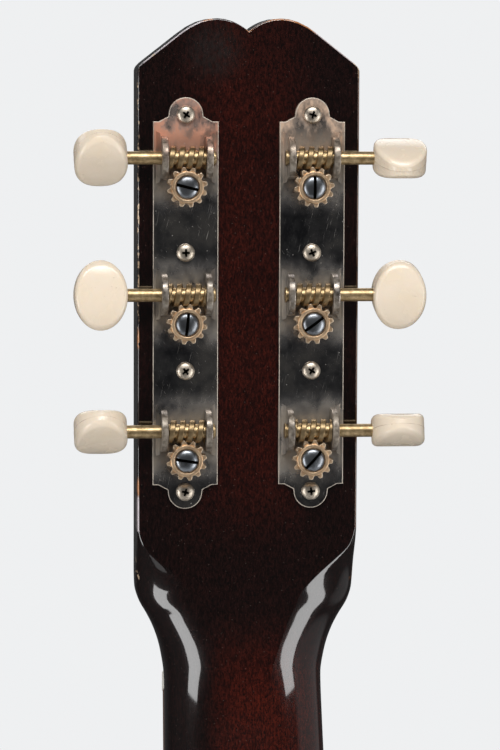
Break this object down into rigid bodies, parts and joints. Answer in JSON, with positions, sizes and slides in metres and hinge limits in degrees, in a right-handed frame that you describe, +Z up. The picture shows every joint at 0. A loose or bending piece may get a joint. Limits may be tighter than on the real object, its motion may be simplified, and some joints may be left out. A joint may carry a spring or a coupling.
{
  "type": "solid-body electric guitar",
  "caption": "Slab-bodied electric guitar with a leaning, parallel-sided headstock and open strip tuners with worm gears.",
  "frame": {"origin": "on the glue face between neck and fingerboard, on the centre line, under the front edge of the nut", "axes": "+Z up the neck to the headstock, +Y out of the front towards the strings, +X to the bass side"},
  "size_m": [0.324, 0.0826, 0.9315],
  "materials": {
    "mahogany": "dark reddish-brown gloss lacquer, worn to bare wood at the edges",
    "rosewood": "oiled, open grain",
    "bone": "polished bone",
    "nickel": "aged nickel plate, scratched and dulled",
    "brass": "aged brass, brown in the roots of the thread",
    "bronze": "dull bronze with bright worn tips",
    "steel": "blued steel, bright at the slot",
    "string_steel": "plain and wound string wire",
    "ivory_plastic": "aged cream plastic, soft gloss",
    "black_plastic": "black gloss"
  },
  "bodies": {
    "guitar": {"neck": "mahogany", "fretted_fingerboard": "rosewood", "nut": "bone", "truss_rod": "steel", "truss_rod_cover": "black_plastic", "tuner_plate_treble": "nickel", "tuner_plate_bass": "nickel", "plate_screw_treble_1": "nickel", "plate_screw_treble_2": "nickel", "plate_screw_treble_3": "nickel", "plate_screw_treble_4": "nickel", "plate_screw_bass_1": "nickel", "plate_screw_bass_2": "nickel", "plate_screw_bass_3": "nickel", "plate_screw_bass_4": "nickel", "body": "mahogany", "pickguard": "black_plastic", "pickup": "ivory_plastic", "bridge": "nickel", "output_jack": "nickel", "strap_button_end": "nickel", "strap_button_horn": "nickel", "string_1": "string_steel", "string_2": "string_steel", "string_3": "string_steel", "string_4": "string_steel", "string_5": "string_steel", "string_6": "string_steel"},
    "tuner_shaft_treble_top": {"worm_shaft_treble_top": "brass", "button_treble_top": "ivory_plastic"},
    "tuner_post_treble_top": {"gear_treble_top": "bronze", "string_post_treble_top": "nickel", "gear_screw_treble_top": "steel"},
    "tuner_shaft_treble_middle": {"worm_shaft_treble_middle": "brass", "button_treble_middle": "ivory_plastic"},
    "tuner_post_treble_middle": {"gear_treble_middle": "bronze", "string_post_treble_middle": "nickel", "gear_screw_treble_middle": "steel"},
    "tuner_shaft_treble_low": {"worm_shaft_treble_low": "brass", "button_treble_low": "ivory_plastic"},
    "tuner_post_treble_low": {"gear_treble_low": "bronze", "string_post_treble_low": "nickel", "gear_screw_treble_low": "steel"},
    "tuner_shaft_bass_top": {"worm_shaft_bass_top": "brass", "button_bass_top": "ivory_plastic"},
    "tuner_post_bass_top": {"gear_bass_top": "bronze", "string_post_bass_top": "nickel", "gear_screw_bass_top": "steel"},
    "tuner_shaft_bass_middle": {"worm_shaft_bass_middle": "brass", "button_bass_middle": "ivory_plastic"},
    "tuner_post_bass_middle": {"gear_bass_middle": "bronze", "string_post_bass_middle": "nickel", "gear_screw_bass_middle": "steel"},
    "tuner_shaft_bass_low": {"worm_shaft_bass_low": "brass", "button_bass_low": "ivory_plastic"},
    "tuner_post_bass_low": {"gear_bass_low": "bronze", "string_post_bass_low": "nickel", "gear_screw_bass_low": "steel"},
    "volume_knob": {"volume_knob": "black_plastic"},
    "tone_knob": {"tone_knob": "black_plastic"}
  },
  "joints": [
    {"name": "button_turn_treble_top", "type": "hinge", "parent": "guitar", "child": "tuner_shaft_treble_top", "pos_m": [-0.01675, -0.05928, 0.13186], "axis": [1, 0, 0], "continuous": true},
    {"name": "post_turn_treble_top", "type": "hinge", "parent": "guitar", "child": "tuner_post_treble_top", "pos_m": [-0.01675, -0.05704, 0.12455], "axis": [0, -0.9563, -0.2924], "continuous": true},
    {"name": "button_turn_treble_middle", "type": "hinge", "parent": "guitar", "child": "tuner_shaft_treble_middle", "pos_m": [-0.01675, -0.04876, 0.09743], "axis": [1, 0, 0], "continuous": true},
    {"name": "post_turn_treble_middle", "type": "hinge", "parent": "guitar", "child": "tuner_post_treble_middle", "pos_m": [-0.01675, -0.04652, 0.09012], "axis": [0, -0.9563, -0.2924], "continuous": true},
    {"name": "button_turn_treble_low", "type": "hinge", "parent": "guitar", "child": "tuner_shaft_treble_low", "pos_m": [-0.01675, -0.03823, 0.06301], "axis": [1, 0, 0], "continuous": true},
    {"name": "post_turn_treble_low", "type": "hinge", "parent": "guitar", "child": "tuner_post_treble_low", "pos_m": [-0.01675, -0.03599, 0.05569], "axis": [0, -0.9563, -0.2924], "continuous": true},
    {"name": "button_turn_bass_top", "type": "hinge", "parent": "guitar", "child": "tuner_shaft_bass_top", "pos_m": [0.01675, -0.05928, 0.13186], "axis": [1, 0, 0], "continuous": true},
    {"name": "post_turn_bass_top", "type": "hinge", "parent": "guitar", "child": "tuner_post_bass_top", "pos_m": [0.01675, -0.05704, 0.12455], "axis": [0, -0.9563, -0.2924], "continuous": true},
    {"name": "button_turn_bass_middle", "type": "hinge", "parent": "guitar", "child": "tuner_shaft_bass_middle", "pos_m": [0.01675, -0.04876, 0.09743], "axis": [1, 0, 0], "continuous": true},
    {"name": "post_turn_bass_middle", "type": "hinge", "parent": "guitar", "child": "tuner_post_bass_middle", "pos_m": [0.01675, -0.04652, 0.09012], "axis": [0, -0.9563, -0.2924], "continuous": true},
    {"name": "button_turn_bass_low", "type": "hinge", "parent": "guitar", "child": "tuner_shaft_bass_low", "pos_m": [0.01675, -0.03823, 0.06301], "axis": [1, 0, 0], "continuous": true},
    {"name": "post_turn_bass_low", "type": "hinge", "parent": "guitar", "child": "tuner_post_bass_low", "pos_m": [0.01675, -0.03599, 0.05569], "axis": [0, -0.9563, -0.2924], "continuous": true},
    {"name": "volume_knob_turn", "type": "hinge", "parent": "guitar", "child": "volume_knob", "pos_m": [-0.095, 0, -0.6], "axis": [0, 1, 0], "range_deg": [-150, 150]},
    {"name": "tone_knob_turn", "type": "hinge", "parent": "guitar", "child": "tone_knob", "pos_m": [-0.095, 0, -0.641], "axis": [0, 1, 0], "range_deg": [-150, 150]}
  ],
  "couplings": [
    {"joint": "post_turn_treble_top", "follows": "button_turn_treble_top", "ratio": -0.083333},
    {"joint": "post_turn_treble_middle", "follows": "button_turn_treble_middle", "ratio": -0.083333},
    {"joint": "post_turn_treble_low", "follows": "button_turn_treble_low", "ratio": -0.083333},
    {"joint": "post_turn_bass_top", "follows": "button_turn_bass_top", "ratio": -0.083333},
    {"joint": "post_turn_bass_middle", "follows": "button_turn_bass_middle", "ratio": -0.083333},
    {"joint": "post_turn_bass_low", "follows": "button_turn_bass_low", "ratio": -0.083333}
  ]
}
